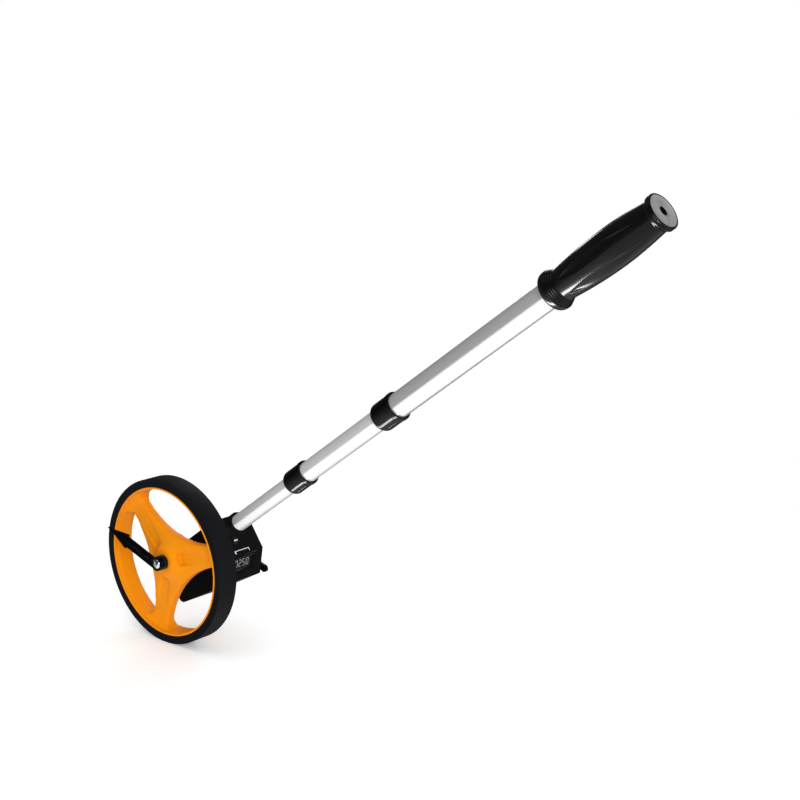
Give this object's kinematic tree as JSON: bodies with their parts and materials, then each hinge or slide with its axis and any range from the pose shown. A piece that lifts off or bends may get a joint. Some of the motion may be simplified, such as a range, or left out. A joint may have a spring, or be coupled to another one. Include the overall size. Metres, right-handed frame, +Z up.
{
  "type": "digital measuring wheel",
  "caption": "Hand-held distance measuring wheel: a rubber-tyred spoked wheel on a small display housing with a telescopic twist-lock pole and a soft grip.",
  "frame": {"origin": "centre of the wheel, on the axle, midway across the tyre", "axes": "+Y along the axle from the pointer side to the housing side, +Z up, the pole rises toward +X and +Z"},
  "size_m": [0.5779, 0.0787, 0.4425],
  "materials": {
    "tyre_rubber": "matt rubber",
    "orange_plastic": "smooth moulded",
    "black_plastic": "fine moulded texture",
    "gloss_black": "glossy moulded",
    "grip_black": "glossy soft vinyl",
    "grey_plastic": "moulded",
    "tube_metal": "bright anodised",
    "black_nylon": "moulded",
    "steel": "zinc plated",
    "chrome": "bright",
    "dark_steel": "blackened",
    "button_black": "satin",
    "clear_lens": "clear polished",
    "lcd": "dark display with light figures",
    "board": "solder mask",
    "component": "moulded epoxy",
    "cell_jacket": "printed jacket, plain"
  },
  "bodies": {
    "housing": {"spindle": "steel", "wheel_spacer": "black_plastic", "front_washer": "dark_steel", "spindle_nut": "steel", "spindle_washer": "steel", "pointer_screw": "chrome", "front_shell": "black_plastic", "rear_shell": "black_plastic", "case_screws": "dark_steel", "tube_screw": "dark_steel", "display_bezel": "gloss_black", "display_lens": "clear_lens", "lcd_panel": "lcd", "main_board": "board", "main_chip": "component", "sensor_board": "board", "hall_sensors": "component", "sensor_header": "component", "switch_board": "board", "power_switch": "component", "zero_switch": "component", "battery_tray": "black_plastic", "batteries": "cell_jacket", "battery_contacts": "steel", "battery_door": "black_plastic", "door_screw": "steel", "lower_tube": "tube_metal", "lower_bush": "black_nylon"},
    "wheel": {"tyre": "tyre_rubber", "wheel_rim": "orange_plastic", "hub_bushes": "black_nylon", "magnet_ring": "black_plastic", "magnets": "steel"},
    "pointer": {"pointer": "gloss_black"},
    "button": {"power_button": "button_black"},
    "lever": {"zero_lever": "gloss_black", "lever_clip": "steel"},
    "middle": {"mid_tube": "tube_metal", "mid_bush": "black_nylon", "lower_collet": "black_nylon"},
    "lower_twist": {"lower_collar": "gloss_black"},
    "handle": {"upper_tube": "tube_metal", "upper_collet": "black_nylon", "grip": "grip_black", "grip_cap": "grey_plastic"},
    "upper_twist": {"upper_collar": "gloss_black"}
  },
  "joints": [
    {"name": "wheel_spin", "type": "hinge", "parent": "housing", "child": "wheel", "pos_m": [0, 0, 0], "axis": [0, 1, 0], "continuous": true},
    {"name": "pointer_turn", "type": "hinge", "parent": "housing", "child": "pointer", "pos_m": [0, -0.0135, 0], "axis": [0, 1, 0], "continuous": true},
    {"name": "power_press", "type": "slide", "parent": "housing", "child": "button", "axis": [-0.8128, 0, -0.5825], "range_m": [0, 0.001], "stiffness_N_per_m": 1500, "springref_m": -0.0005},
    {"name": "zero_press", "type": "hinge", "parent": "housing", "child": "lever", "pos_m": [0.0547, 0.056, -0.00509], "axis": [0, 1, 0], "range_deg": [0, 25], "stiffness_Nm_per_rad": 0.03, "springref_deg": -8.59},
    {"name": "lower_slide", "type": "slide", "parent": "housing", "child": "middle", "axis": [0.8128, 0, 0.5825], "range_m": [-0.072, 0.15]},
    {"name": "upper_slide", "type": "slide", "parent": "middle", "child": "handle", "axis": [0.8128, 0, 0.5825], "range_m": [-0.095, 0.12]},
    {"name": "lower_lock", "type": "hinge", "parent": "middle", "child": "lower_twist", "pos_m": [0.13249, 0.0414, 0.09495], "axis": [0.8128, 0, 0.5825], "range_deg": [0, 90]},
    {"name": "upper_lock", "type": "hinge", "parent": "handle", "child": "upper_twist", "pos_m": [0.23815, 0.0414, 0.17069], "axis": [0.8128, 0, 0.5825], "range_deg": [0, 90]}
  ]
}
